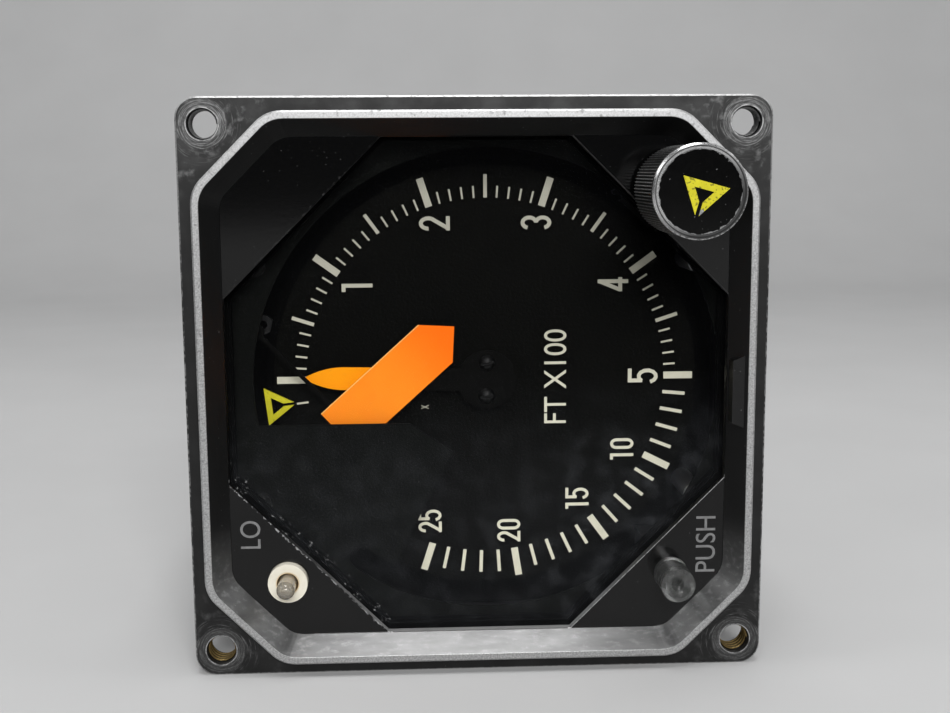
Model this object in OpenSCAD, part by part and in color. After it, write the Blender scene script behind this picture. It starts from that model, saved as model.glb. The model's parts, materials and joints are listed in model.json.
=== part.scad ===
// Radio altimeter indicator: a square panel instrument with a servo driven pointer, a warning flag,
// a decision height index set by a knob, a push-to-test button and a height lamp.
// Drawn face on: x to the right, y up, z out of the panel.
// face_on() then turns it to stand with its dial facing -Y.

/* [Bezel] */
// Side of the square mounting flange
flange_w = 82.55; // [74:0.05:92]
// Thickness of the mounting flange
flange_t = 4.6; // [4.2:0.1:6]
// Corner radius of the mounting flange
flange_r = 3; // [1:0.1:4]
// Distance of the panel screw holes from the flange's sides
hole_inset = 3.725; // [3.2:0.025:4.2]
// Tapped diameter of the panel screw holes
hole_d = 4.3; // [2.8:0.1:4.6]
// Width of the flange outside the rim
rim_inset = 2.025; // [1.6:0.025:2.4]
// Width of the flat land on top of the rim
rim_land = 1.05; // [0.8:0.05:1.6]
// Width of the sloping wall between the rim and the window
wall_run = 2.45; // [2:0.05:3]
// Share of the rim's width that its corners are cut back
rim_cut = 0.135; // [0.12:0.001:0.15]
// Height of the rim over the flange
rim_h = 2; // [1:0.1:4]
// Corner radius of the rim
rim_r = 5; // [2:0.5:7]
// Chamfer on the outer edges of the flange and the rim
edge_break = 0.25; // [0.1:0.05:0.4]
// Depth of the corner panels under the flange face
panel_z = 1.2; // [0.6:0.1:2]
// Thickness of the corner panels
panel_t = 2.6; // [2.2:0.1:3.2]

/* [Window] */
// Share of the window's width that its corners are cut back
window_cut = 0.3133; // [0.3:0.0001:0.33]
// Thickness of the window glass
glass_t = 2; // [1.6:0.1:2.4]
// Width of the seat that the glass bears on
glass_lap = 0.9; // [0.6:0.1:1]
// Lip of the corner panels in front of the glass
glass_lip = 1.2; // [0.8:0.1:1.6]

/* [Dial] */
// Shift of the dial's centre to the right of the flange's centre
dial_x = 1.7; // [1:0.1:2]
// Depth of the dial's face under the flange face
dial_z = 12.1; // [12:0.1:13]
// Distance of the dial's edge from the window's sides
dial_margin = 3.85; // [3.4:0.05:4.4]
// Thickness of the dial disc
dial_t = 0.8; // [0.5:0.1:1]
// Distance of the main scale marks from the dial's edge
tick_edge = 0.45; // [0.3:0.05:0.8]
// Length of a main scale mark
tick_len = 4.4; // [3.4:0.1:5]
// Width of a main scale mark
tick_w = 1.05; // [0.6:0.05:1.2]
// Height of a single numeral
numeral_h = 4.6; // [3.5:0.1:4.8]
// Height of a double numeral
pair_h = 3.6; // [3:0.1:4]
// Thickness of the raised scale paint
paint_t = 0.1; // [0.05:0.01:0.2]
// Scale angle from zero to five hundred feet
low_span = 180; // [175:1:182]
// Scale angle from five hundred to twenty-five hundred feet
high_span = 108; // [104:1:110]

/* [Pointer] */
// Length of the pointer's tip beyond the inner ends of the scale marks
pointer_lap = 0.35; // [0:0.05:0.6]
// Width of the pointer's blade
pointer_w = 3.4; // [2.4:0.1:4]
// Thickness of the pointer's blade
pointer_t = 0.4; // [0.3:0.05:0.5]
// Angle past zero at which the pointer stands
pointer_rest = 1.1; // [0:0.1:3]
// Length over which the pointer's tip tapers
tip_len = 6; // [4:0.1:8]
// Distance between the pointer's two screws
screw_gap = 5; // [4.6:0.1:5.4]
// Diameter of the pointer shaft
shaft_d = 3; // [2:0.1:3.1]

/* [Height index] */
// Length of the index over the dial
bug_reach = 3.1; // [2.6:0.1:3.4]
// Length of the index outside the dial
bug_over = 1.4; // [1.2:0.05:1.6]
// Half width of the index at its outer edge
bug_half = 2.85; // [2:0.05:3.2]
// Width of the index's yellow band
bug_band = 0.85; // [0.5:0.05:1]
// Angle below zero at which the index stands
bug_rest = 6.7; // [5.5:0.1:7.5]
// Teeth on the index ring
ring_teeth = 108; // [100:1:116]
// Teeth on the knob's pinion
knob_teeth = 20; // [19:1:21]

/* [Knob] */
// Diameter of the knob
knob_d = 12.4; // [11:0.1:13]
// Height of the knob's front over the flange face
knob_top = 15.4; // [12:0.1:18]
// Gap between the knob's skirt and the corner panel
knob_gap = 1; // [0.6:0.1:2]
// Height of the plain skirt under the knob's ridges
skirt_h = 1; // [0.9:0.1:2]
// Ridges round the knob
knob_ridges = 84; // [60:1:96]
// Direction of the knob from the dial's centre
knob_angle = 47.2; // [46:0.1:48]
// Diameter of the knob's shaft
knob_shaft_d = 3.2; // [2.4:0.1:3.4]

/* [Flag] */
// Width of the warning flag
flag_w = 7.6; // [6:0.1:8]
// Length of the warning flag without its point
flag_len = 19.6; // [17:0.1:20]
// Slope of the warning flag
flag_slope = 42; // [40:0.5:44]
// Thickness of the warning flag
flag_t = 0.3; // [0.2:0.05:0.4]
// Width of the flag's arm
flag_arm_w = 0.6; // [0.4:0.05:0.9]

/* [Lamp and button] */
// Diameter of the lamp's white sleeve
sleeve_d = 5.7; // [5:0.1:6]
// Diameter of the lamp bulb
bulb_d = 2.6; // [2:0.1:2.8]
// Diameter of the test button
button_d = 4.9; // [4:0.1:5.2]
// Height of the test button over the flange face
button_top = 4.5; // [3:0.1:6]
// Travel of the test button
button_travel = 1.2; // [0.8:0.1:1.6]

/* [Case] */
// Distance of the case's sides from the flange's sides
case_inset = 1.675; // [1.4:0.025:1.9]
// Wall of the case
case_wall = 1.2; // [1:0.1:1.5]
// Depth of the case behind the flange face
case_len = 118; // [114:1:150]
// Thickness of the rear cover
cover_t = 2.5; // [2:0.1:4]
// Diameter of the rear connector's shell
plug_d = 19; // [17:0.5:22]
// Length of the rear connector's shell behind the cover
plug_len = 15.5; // [12:0.5:20]

/* [Hidden] */
$fn = 64;

// Clearances: between fitted faces, round a running shaft, and between levels that pass each other
fit = 0.1;
run = 0.04;
gap = 0.3;
pass = 0.5;
clear = 1;
eps = 0.01;

// An octagon pulled in by d keeps its sides parallel when its leg shrinks by this share of d
leg_share = 2 - sqrt(2);

// Sides and corner cuts of the nested octagons
rim_w = flange_w - 2 * rim_inset;
rim_leg = rim_cut * rim_w;
window_w = rim_w - 2 * (rim_land + wall_run);
window_leg = window_cut * window_w;
hole_pitch = flange_w - 2 * hole_inset;
floor_leg = rim_leg - (rim_land + wall_run) * leg_share;
rim_in_w = rim_w - 2 * rim_land;
rim_in_leg = rim_leg - rim_land * leg_share;
glass_w = window_w + 2 * glass_lap;
glass_leg = window_leg + glass_lap * leg_share;
case_w = flange_w - 2 * case_inset;
case_slack = 0.4;
case_leg = rim_leg - case_slack;
case_in_w = case_w - 2 * case_wall;
case_in_leg = case_leg - case_wall * leg_share;
spigot_w = case_in_w - 2 * fit;
spigot_leg = case_in_leg - fit * leg_share;
spigot_wall = 1.3;
spigot_len = 10;
cavity_w = spigot_w - 2 * spigot_wall;
cavity_leg = spigot_leg - spigot_wall * leg_share;
plate_inset = 1.2;
plate_w = case_in_w - 2 * plate_inset;
plate_leg = case_in_leg + 2 * plate_inset;
board_w = plate_w - clear;

// Levels, out of the panel, from front to back
panel_front = -panel_z;
panel_back = panel_front - panel_t;
glass_front = panel_front - glass_lip;
glass_back = glass_front - glass_t;
gasket_t = 0.5;
retainer_t = 1.3;
retainer_front = glass_back - gasket_t;
retainer_back = retainer_front - retainer_t;
dial_front = -dial_z;
dial_back = dial_front - dial_t;
bug_t = 0.4;
bug_back = dial_front + paint_t + pass;
bug_front = bug_back + bug_t;
pointer_back = bug_front + pass;
pointer_front = pointer_back + pointer_t;
flag_back = pointer_front + clear;
flag_front = flag_back + flag_t;
mask_t = 0.5;
mask_back = flag_front + clear;
mask_front = mask_back + mask_t;
clip_t = 0.4;
clip_head_h = 0.7;
clip_lift = 0.2;
ring_front = dial_back - gap - clip_head_h - clip_t - clip_lift;
ring_flange_t = 0.8;
ring_tooth_t = 2;
ring_back = ring_front - ring_flange_t - ring_tooth_t;
plate_front_z = ring_back - gap - fit;
plate_t = 2.5;
plate_back_z = plate_front_z - plate_t;
train_gap = 24;
back_plate_z = plate_back_z - train_gap;
back_plate_back = back_plate_z - plate_t;
motor_len = 30;
motor_cap_t = 1.5;
motor_end = back_plate_back - motor_len - motor_cap_t;
cover_front = -case_len;
cover_back = cover_front - cover_t;
board_t = 1.6;
board_stand = (motor_end - cover_front - 2 * board_t) / 3;
rear_board_z = cover_front + board_stand + board_t;
front_board_z = rear_board_z + board_stand + board_t;

// Radii about the dial's centre
dial_r = window_w / 2 - dial_margin;
tick_r = dial_r - tick_edge - tick_len;
pointer_r = tick_r + pointer_lap;
bug_r_in = dial_r - bug_reach;
bug_r_out = dial_r + bug_over;
slot_r_in = bug_r_out - 2.3;
slot_r_out = bug_r_out + 1.1;
ring_pitch_r = dial_r + pass;
gear_m = 2 * ring_pitch_r / ring_teeth;
ring_wall = 2.4;
guide_r = ring_pitch_r - ring_wall;
guide_wall = 3;

// Screws
screw_r = 0.9;
fine_r = 0.63;
ear_screw_r = 0.72;
screw_head_h = 0.9;

ear_bore = 1.2;
ear_head_r = 1.35;

// Places on the face, as shares of the window, the dial, the case's cavity and the movement plate
dial_at = [dial_x, 0];
knob_dist = gear_m * (ring_teeth + knob_teeth) / 2;
knob_at = dial_at + knob_dist * [cos(knob_angle), sin(knob_angle)];
corner_at = 0.388 * window_w;
lamp_at = [-corner_at, -corner_at];
button_at = [corner_at + 0.4, -corner_at];
flag_pivot_inset = 3.5;
flag_pivot = [flag_pivot_inset - window_w / 2, 0.109 * window_w];
// Upper corner of the flag's far end, from which its edge runs back down the slope
flag_far = dial_at + dial_r * [-0.32, 0.2665];
mask_edge_y = -0.188 * dial_r;
mask_corner = dial_at + dial_r * [-0.3636, -0.188];
mask_bevel = dial_at + dial_r * [-0.166, -0.323];
mask_side_angle = 243;
slot_end_angle = 234;
post_r = 1.6;
post_bore = 4;
post_inset = 3.8;
mask_posts_at = [for (sx = [-1, 1], sy = [-1, 1])
    [sx * (window_w / 2 - post_inset) + (sx > 0 ? 1 : 0), sy * 0.2448 * window_w]];
boss_r = 2.4;
boss_side = cavity_w / 2 - boss_r - fit;
bosses_at = [[-0.324 * cavity_w, boss_side], [0.284 * cavity_w, boss_side],
    [-boss_side, -0.3176 * cavity_w], [boss_side, -0.3135 * cavity_w]];
ear_r = 2;
ears_at = [for (sx = [-1, 1], sy = [-1, 1]) [sx * (glass_w / 2 - ear_r - 0.2), sy * 0.2462 * window_w]];
pillar_r = 2.5;
pillars_at = plate_w * [[-0.4435, 0.363], [0.45, 0.175], [-0.403, -0.403], [0.403, -0.403]];
standoffs_at = square_at(0.806 * plate_w);

// Gear train behind the dial
pointer_teeth = 66;
motor_teeth = 18;
feedback_teeth = 33;
motor_angle = 225;
feedback_angle = 135;
motor_at = dial_at + gear_m * (pointer_teeth + motor_teeth) / 2 * [cos(motor_angle), sin(motor_angle)];
feedback_at = dial_at
    + gear_m * (pointer_teeth + feedback_teeth) / 2 * [cos(feedback_angle), sin(feedback_angle)];
gear_t = 2.4;
gear_depth = 8;
gear_front = plate_back_z - gear_depth;
gear_overlap = 0.2;
pressure_angle = 20;
backlash = 0.07;
small_shaft_r = 1.2;
small_neck_r = small_shaft_r + clear;
shaft_socket = 6;
shaft_reach = 5;
motor_r = 9;
feedback_r = 8;
feedback_len = 14;

// Pointer and its hub
pointer_eye = 4.4;
hub_back = dial_front + paint_t + gap;
hub_r = pointer_eye - gap;
bushing_wall = 1.5;

// Index ring and its clips
clip_r = 2;
clip_bore = 2.7;
clips_at = [for (a = [80, 200, 330]) dial_point(guide_r - 1.2, a)];
clip_back = ring_front + clip_lift;
clip_front = clip_back + clip_t;

// Knob, its shaft, bushing and pinion, and the potentiometer behind it
bush_wall = 1.5;
knob_neck_r = knob_shaft_d / 2 + bush_wall;
knob_low = panel_front + knob_gap;
cap_depth = 0.5;
cap_sink = 0.1;
cap_r = knob_d / 2 - 0.75;
shaft_top = knob_top - 3;
set_screw_r = 0.9;
set_screw_z = knob_low + skirt_h + 1.8;
pinion_front = ring_front - ring_flange_t - gap;
pinion_back = ring_back + fit;
pot_len = 15;
pot_r = 6;
pot_wall = 3;

// Flag: the direction of its edge down its slope, the direction across it, its spindle and actuator
flag_along = [-cos(flag_slope), -sin(flag_slope)];
flag_across = [sin(flag_slope), -cos(flag_slope)];
flag_root = flag_far + flag_along * (flag_len - 2);
spindle_r = 0.6;
spindle_neck_r = 1.5;
actuator_r = 4;
actuator_len = 13;
actuator_wall = 2.5;

// Lamp, button and switch
sleeve_len = 4;
sleeve_back = panel_back - sleeve_len;
sleeve_top = panel_front + 1.2;
bulb_room = 0.25;
bulb_top = sleeve_top + 4.2;
holder_r = sleeve_d / 2 + pass;
button_collar_t = 0.8;
switch_w = 5;
switch_room = 1.6;
switch_front = panel_back - button_collar_t - button_travel - switch_room;

// Case screws, rear cover and connector
case_screw_z = -flange_t - spigot_len / 2;
standoff_bore = 6;
can_h = 0.75 * board_stand;
plug_flange_w = plug_d + 6.5;
plug_flange_t = 2;
plug_screw_inset = 2.4;
plug_screws_at = square_at(plug_flange_w - 2 * plug_screw_inset);
plug_wall = 1.4;
plug_back = cover_back - plug_len;
plug_front = cover_front + 0.4 * board_stand;
insert_back = cover_back - plug_len / 3;
insert_front = plug_front - clear;
pin_r = 0.5;
pin_len = 5;
pin_pitch = 2.6;
pins_at = [[0, 0], for (a = [0 : 60 : 300]) pin_pitch * [cos(a), sin(a)],
    for (a = [0 : 30 : 330]) 2 * pin_pitch * [cos(a), sin(a)]];

// Colours
black = "#16171a";
dark = "#26282b";
orange = "#ff7a14";
yellow = "#e6cf1e";
cream = "#cfc8ad";
steel = "#9a9c9f";
aluminium = "#b4b6b8";
brass = "#b8923c";

// Stands the face-on drawing up, with the dial facing -Y and up along Z
module face_on() {
    rotate([90, 0, 0]) children();
}

// Corner points of an octagon of width w whose corners are cut back by leg along each side
function octagon(w, leg) = let (h = w / 2, c = h - leg)
    [[h, -c], [h, c], [c, h], [-c, h], [-h, c], [-h, -c], [-c, -h], [c, -h]];

// Corner points of a square of width w
function square_at(w) = [[w, -w] / 2, [w, w] / 2, [-w, w] / 2, [-w, -w] / 2];

// Arc of radius r that rounds the corner p between its neighbours a and b
function corner_arc(a, p, b, r, n) =
    let (u = (a - p) / norm(a - p), v = (b - p) / norm(b - p), angle = acos(u * v),
        c = p + (u + v) / norm(u + v) * r / sin(angle / 2),
        s = p + u * r / tan(angle / 2) - c, start = atan2(s[1], s[0]), turn = 180 - angle)
    [for (i = [0 : n]) c + r * [cos(start + turn * i / n), sin(start + turn * i / n)]];

// A convex outline with every corner rounded
function rounded(points, r, n = 6) = let (k = len(points))
    [for (i = [0 : k - 1]) each corner_arc(points[(i + k - 1) % k], points[i], points[(i + 1) % k], r, n)];

// Straight prism over an outline between two levels
module prism(points, low, high) {
    translate([0, 0, low]) linear_extrude(high - low) polygon(points);
}

// Tapered prism between two convex outlines
module taper(low_points, low, high_points, high) {
    hull() {
        prism(low_points, low, low + eps);
        prism(high_points, high - eps, high);
    }
}

// Straight prism whose upper edge is chamfered down to a smaller outline
module broken_prism(points, top_points, low, high) {
    prism(points, low, high - edge_break);
    taper(points, high - edge_break - eps, top_points, high);
}

// Round post between two levels
module post(at, r, low, high) {
    translate([at[0], at[1], low]) cylinder(r = r, h = high - low);
}

// Round tube between two levels
module tube(at, r_in, r_out, low, high) {
    difference() {
        post(at, r_out, low, high);
        post(at, r_in, low - eps, high + eps);
    }
}

// Slotted cheese head screw: head above the level, shank below it
module slotted_screw(at, head_r, head_h, shank_r, shank_len, level, slot_angle = 30) {
    slot_w = head_r / 3;
    slot_h = head_h / 2;
    difference() {
        union() {
            post(at, head_r, level, level + head_h);
            post(at, shank_r, level - shank_len, level + eps);
        }
        translate([at[0], at[1], level + head_h - slot_h / 2 + eps]) rotate([0, 0, slot_angle])
            cube([3 * head_r, slot_w, slot_h], center = true);
    }
}

// Involute of the base circle, in degrees, at pressure angle a
function involute(a) = tan(a) * 180 / PI - a;

// Half the angle that a tooth fills at radius r
function half_tooth(teeth, r) =
    let (pitch_r = gear_m * teeth / 2, base_r = pitch_r * cos(pressure_angle),
        a = acos(min(1, base_r / max(r, base_r))))
    90 / teeth - backlash / 2 / pitch_r * 180 / PI + involute(pressure_angle) - involute(a);

// Outline of a spur gear with its first tooth on the x axis
function gear_outline(teeth, steps = 3) =
    let (pitch_r = gear_m * teeth / 2, root_r = pitch_r - 1.25 * gear_m, tip_r = pitch_r + 0.95 * gear_m)
    [for (t = [0 : teeth - 1], side = [-1, 1], i = [0 : steps])
        let (k = side < 0 ? i : steps - i, r = root_r + (tip_r - root_r) * k / steps,
            a = 360 / teeth * t + side * half_tooth(teeth, r))
        r * [cos(a), sin(a)]];

// Turn that puts a gear in mesh with a driving gear whose first tooth is on the x axis
function mesh_turn(direction, driver, driven) =
    direction + 180 + 180 / driven + direction * driver / driven;

// Spur gear with a bore, turned into mesh
module gear(at, teeth, bore_r, low, high, turn = 0) {
    difference() {
        translate([at[0], at[1], 0]) rotate([0, 0, turn]) prism(gear_outline(teeth), low, high);
        post(at, bore_r, low - eps, high + eps);
    }
}

// Open triangle: a base and two arms that stop short of the apex, which points along -x at the origin
module open_triangle(height, half, band, split, low, high) {
    slope = atan2(half, height);
    inner = band / sin(slope);
    difference() {
        prism([[0, 0], [height, half], [height, -half]], low, high);
        prism([[inner, 0], [height - band, (height - band - inner) * half / height],
            [height - band, -(height - band - inner) * half / height]], low - eps, high + eps);
        translate([-eps, -split / 2, low - eps]) cube([inner + split, split, high - low + 2 * eps]);
    }
}

// Point of the dial at radius r, at an angle that runs clockwise from the zero mark
function dial_point(r, angle) = dial_at + r * [-cos(angle), sin(angle)];

// Point at radius r from the dial's centre, at an angle that runs anticlockwise from the right
function polar(r, angle) = dial_at + r * [cos(angle), sin(angle)];

// Angle of a height on the scale, in hundreds of feet
function scale_angle(height) =
    height <= 5 ? low_span * height / 5 : low_span + high_span * (height - 5) / 20;

module bezel() {
    rim_turn = edge_break * leg_share;
    color(black) difference() {
        union() {
            broken_prism(rounded(square_at(flange_w), flange_r),
                rounded(square_at(flange_w - 2 * edge_break), flange_r - edge_break), -flange_t, 0);
            broken_prism(rounded(octagon(rim_w, rim_leg), rim_r),
                rounded(octagon(rim_w - 2 * edge_break, rim_leg - rim_turn), rim_r - edge_break),
                -eps, rim_h);
            difference() {
                prism(octagon(spigot_w, spigot_leg), -flange_t - spigot_len, -flange_t + eps);
                prism(octagon(cavity_w, cavity_leg), -flange_t - spigot_len - eps, -flange_t + 2 * eps);
            }
            for (at = bosses_at) post(at, boss_r, plate_front_z, panel_back + eps);
        }
        difference() {
            bezel_well();
            badge_pad();
        }
        prism(octagon(window_w, window_leg), panel_back - eps, panel_front + eps);
        prism(octagon(glass_w + 2 * fit, glass_leg + fit * leg_share), panel_back - eps, glass_front);
        difference() {
            prism(octagon(cavity_w, cavity_leg), -flange_t - eps, panel_back);
            for (at = bosses_at) post(at, boss_r, -flange_t - 2 * eps, panel_back + eps);
        }
        for (at = bosses_at) post(at, screw_r, plate_front_z - eps, panel_back - clear);
        for (at = ears_at) post(at, ear_screw_r, panel_back - eps, panel_back + ear_bore);
        for (at = square_at(hole_pitch)) post(at, hole_d / 2, -flange_t - eps, eps);
        for (i = [0 : 3]) case_screw_hole(i);
        post(knob_at, knob_neck_r, panel_back - eps, panel_front + eps);
        post(lamp_at, sleeve_d / 2 + fit, panel_back - eps, panel_front + eps);
        post(button_at, button_d / 2 + run, panel_back - eps, panel_front + eps);
    }
}

// Sloping well from the rim's land down to the corner panels
module bezel_well() {
    taper(rounded(octagon(window_w, floor_leg), rim_r - clear), panel_front,
        rounded(octagon(rim_in_w, rim_in_leg), rim_r - rim_land / 2), rim_h + eps);
}

// Bare pad left standing on the well's right wall
module badge_pad() {
    pad_top = rim_h - 0.6;
    pad_mid = -0.4;
    pad_half = 4.5;
    flare = 1.3;
    inner = window_w / 2 + gap;
    outer = rim_w / 2;
    prism([[inner, pad_mid - pad_half], [outer, pad_mid - pad_half - flare],
        [outer, pad_mid + pad_half + flare], [inner, pad_mid + pad_half]], panel_front - clear, pad_top);
}

// Hole for a case screw, one on each side of the case
module case_screw_hole(i) {
    rotate([0, 0, 90 * i]) translate([cavity_w / 2 - clear, 0, case_screw_z]) rotate([0, 90, 0])
        cylinder(r = screw_r, h = (case_w - cavity_w) / 2 + 2 * clear);
}

module window_glass() {
    color("#6f7f8a60") prism(octagon(glass_w, glass_leg), glass_back, glass_front);
}

// Octagonal frame that follows the window's edge
module window_frame(inner_lap, low, high) {
    difference() {
        prism(octagon(glass_w, glass_leg), low, high);
        prism(octagon(window_w - 2 * inner_lap, window_leg - inner_lap * leg_share), low - eps, high + eps);
    }
}

module window_gasket() {
    color(dark) window_frame(fit, retainer_front, glass_back);
}

module window_retainer() {
    color(black) difference() {
        union() {
            window_frame(pass, retainer_back, retainer_front);
            for (at = ears_at) post(at, ear_r, retainer_back, panel_back);
        }
        prism(octagon(glass_w + 2 * fit, glass_leg + fit * leg_share), retainer_front, panel_back + eps);
        for (at = ears_at) {
            post(at, ear_screw_r, retainer_back - eps, panel_back + eps);
            post(at, ear_head_r, retainer_back - eps, retainer_back + screw_head_h);
        }
    }
}

module retainer_screws() {
    color(steel) for (at = ears_at) mirror([0, 0, 1])
        slotted_screw(at, ear_head_r, screw_head_h - fit, ear_screw_r,
            panel_back + ear_bore - gap - retainer_back - screw_head_h, -retainer_back - screw_head_h);
}

// Plate over the hidden sector of the scale, with the round opening that shows the dial
module mask_plate() {
    frame_w = glass_w - 2 * fit;
    frame_leg = glass_leg - 2 * post_r + 2 * fit;
    slot_mid = (slot_r_in + slot_r_out) / 2;
    slot_half = (slot_r_out - slot_r_in) / 2;
    slot_end = polar(slot_mid, slot_end_angle);
    far_left = -frame_w / 2;
    low = mask_back - eps;
    high = mask_front + eps;
    color(black) difference() {
        prism(octagon(frame_w, frame_leg), mask_back, mask_front);
        difference() {
            post(dial_at, slot_r_out, low, high);
            prism([[far_left, mask_edge_y], [far_left, -frame_w], polar(frame_w, mask_side_angle),
                mask_bevel, mask_corner], low - eps, high + eps);
        }
        intersection() {
            tube(dial_at, slot_r_in, slot_r_out, low, high);
            prism([dial_at, polar(frame_w, slot_end_angle), polar(frame_w, mask_side_angle + 5)],
                low, high);
        }
        post(slot_end, slot_half, low, high);
        for (at = mask_posts_at) post(at, screw_r, low, high);
        for (at = bosses_at) post(at, boss_r + pass, low, high);
        post(lamp_at, holder_r + pass, low, high);
        post(button_at, switch_w * sqrt(0.5) + pass, low, high);
    }
}

module mask_posts() {
    color(aluminium) for (at = mask_posts_at) difference() {
        post(at, post_r, plate_front_z, mask_back);
        post(at, screw_r, mask_back - post_bore, mask_back + eps);
    }
}

module mask_screws() {
    color(steel) for (at = mask_posts_at)
        slotted_screw(at, post_r - fit, screw_head_h, screw_r, post_bore - clear + mask_t, mask_front);
}

// Dial disc with three feet that stand on the front plate
module dial() {
    foot_r = 1.5;
    foot_ring = 0.69 * dial_r;
    color(black) difference() {
        union() {
            post(dial_at, dial_r, dial_back, dial_front);
            for (a = [30, 150, 270]) post(dial_point(foot_ring, a), foot_r, plate_front_z, dial_back + eps);
        }
        post(dial_at, shaft_d / 2 + clear, dial_back - eps, dial_front + eps);
    }
}

// One scale mark, from the common start radius outwards
module tick(height, length, width) {
    translate([dial_at[0], dial_at[1], dial_front]) rotate([0, 0, 180 - scale_angle(height)])
        translate([tick_r, -width / 2, 0]) cube([length, width, paint_t]);
}

// Straight stroke of a numeral, with square ends
module stroke(a, b, w) {
    along = (b - a) / norm(b - a) * w / 2;
    across = [-along[1], along[0]];
    prism([a + across, a - across, b - across, b + across], 0, paint_t);
}

// Curved stroke of a numeral: part of an elliptic ring of mean radii rx and ry
module bow(c, rx, ry, from, to, w, steps = 10) {
    outer = [for (i = [0 : steps]) let (a = from + (to - from) * i / steps)
        c + [(rx + w / 2) * cos(a), (ry + w / 2) * sin(a)]];
    inner = [for (i = [steps : -1 : 0]) let (a = from + (to - from) * i / steps)
        c + [(rx - w / 2) * cos(a), (ry - w / 2) * sin(a)]];
    prism(concat(outer, inner), 0, paint_t);
}

// Plain numeral of height h, w wide, drawn with strokes s thick from its lower left corner
module numeral(digit, h, w, s) {
    m = s / 2;
    rx = w / 2 - m;
    if (digit == 0) {
        ry = rx * 1.25;
        bow([w / 2, h - m - ry], rx, ry, 0, 180, s);
        bow([w / 2, m + ry], rx, ry, 180, 360, s);
        stroke([m, m + ry], [m, h - m - ry], s);
        stroke([w - m, m + ry], [w - m, h - m - ry], s);
    }
    if (digit == 1) {
        stroke([w * 0.6, 0], [w * 0.6, h], s);
        stroke([w * 0.6 - 1.6 * s, h - m], [w * 0.6, h - m], s);
    }
    if (digit == 2) {
        ry = h * 0.25;
        bow([w / 2, h - m - ry], rx, ry, -20, 180, s);
        stroke([w / 2 + rx * cos(20), h - m - ry - ry * sin(20)], [m * 1.2, m], s);
        stroke([0, m], [w, m], s);
    }
    if (digit == 3) {
        ry = h / 4 - m / 2;
        bow([w / 2, h - m - ry], rx, ry, -90, 165, s);
        bow([w / 2, m + ry], rx, ry, -165, 90, s);
    }
    if (digit == 4) {
        stem = w * 0.72;
        bar = h * 0.26;
        stroke([stem, 0], [stem, h], s);
        stroke([0, bar], [w, bar], s);
        stroke([m * 0.8, bar], [stem, h - m], s);
    }
    if (digit == 5) {
        ry = h * 0.29;
        stroke([m, h - m], [w, h - m], s);
        stroke([m, h], [m, h * 0.52], s);
        bow([w / 2 - m / 2, m + ry], rx + m / 2, ry, -160, 140, s);
    }
}

// Number that stands upright inside the scale at a height's mark, reading up the face
module dial_number(height, digits, h, shift = 0) {
    w = h * 0.46;
    line = h * 0.125;
    pitch = w * 1.16;
    space = 0.85;
    total = pitch * (len(digits) - 1) + w;
    angle = scale_angle(height) + shift;
    at = dial_point(tick_r - space - abs(h / 2 * cos(angle)) - abs(total / 2 * sin(angle)), angle);
    translate([at[0], at[1], dial_front]) rotate([0, 0, 90]) translate([-total / 2, -h / 2, 0])
        for (i = [0 : len(digits) - 1]) translate([pitch * i, 0, 0]) numeral(digits[i], h, w, line);
}

// Scale marks and numerals, as raised paint on the dial
module dial_markings() {
    minor_len = tick_len * 0.4;
    middle_len = tick_len * 0.78;
    color(cream) {
        for (step = [-2, each [1 : 49]]) if (step % 5 != 0) tick(step / 10, minor_len, tick_w * 0.26);
        for (step = [0 : 4]) tick(step + 0.5, middle_len, tick_w * 0.5);
        for (height = [0 : 5]) tick(height, tick_len, tick_w);
        for (height = [6 : 24]) if (height % 5 != 0) tick(height, middle_len, tick_w * 0.48);
        for (height = [10, 15, 20, 25]) tick(height, tick_len, tick_w);
        for (n = [1 : 5]) dial_number(n, [n], numeral_h);
        for (pair = [[1, 0, 2], [1, 5, 0], [2, 0, 1], [2, 5, 3.5]])
            dial_number(10 * pair[0] + pair[1], [pair[0], pair[1]], pair_h, pair[2]);
    }
}

// Half width of the pointer's blade at a distance from its tip
function blade_half(s) = pointer_w / 2 * (1 - pow(1 - s / tip_len, 2));
pointer_screws_at = [for (s = [-1, 1]) rest_turn([0, s * screw_gap / 2])];

// A point of the pointer, drawn about the dial's centre and pointing left, turned to where it stands
function rest_turn(p) = dial_at + [p[0] * cos(pointer_rest) + p[1] * sin(pointer_rest),
    -p[0] * sin(pointer_rest) + p[1] * cos(pointer_rest)];

module pointer() {
    steps = 10;
    edge = [for (i = [0 : steps]) let (s = tip_len * i / steps) [-pointer_r + s, blade_half(s)]];
    blade = concat(edge, [[-pointer_eye / 2, pointer_w / 2], [-pointer_eye / 2, -pointer_w / 2]],
        [for (i = [steps : -1 : 1]) [edge[i][0], -edge[i][1]]]);
    color(orange) difference() {
        union() {
            translate([dial_at[0], dial_at[1], 0]) rotate([0, 0, -pointer_rest])
                prism(blade, pointer_back, pointer_front);
            post(dial_at, pointer_eye, pointer_back, pointer_front);
        }
        for (at = pointer_screws_at) post(at, fine_r, pointer_back - eps, pointer_front + eps);
    }
}

module pointer_hub() {
    color(dark) difference() {
        post(dial_at, hub_r, hub_back, pointer_back);
        post(dial_at, shaft_d / 2, hub_back - eps, pointer_back + eps);
        for (at = pointer_screws_at) post(at, fine_r, hub_back - eps, pointer_back + eps);
    }
}

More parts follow.
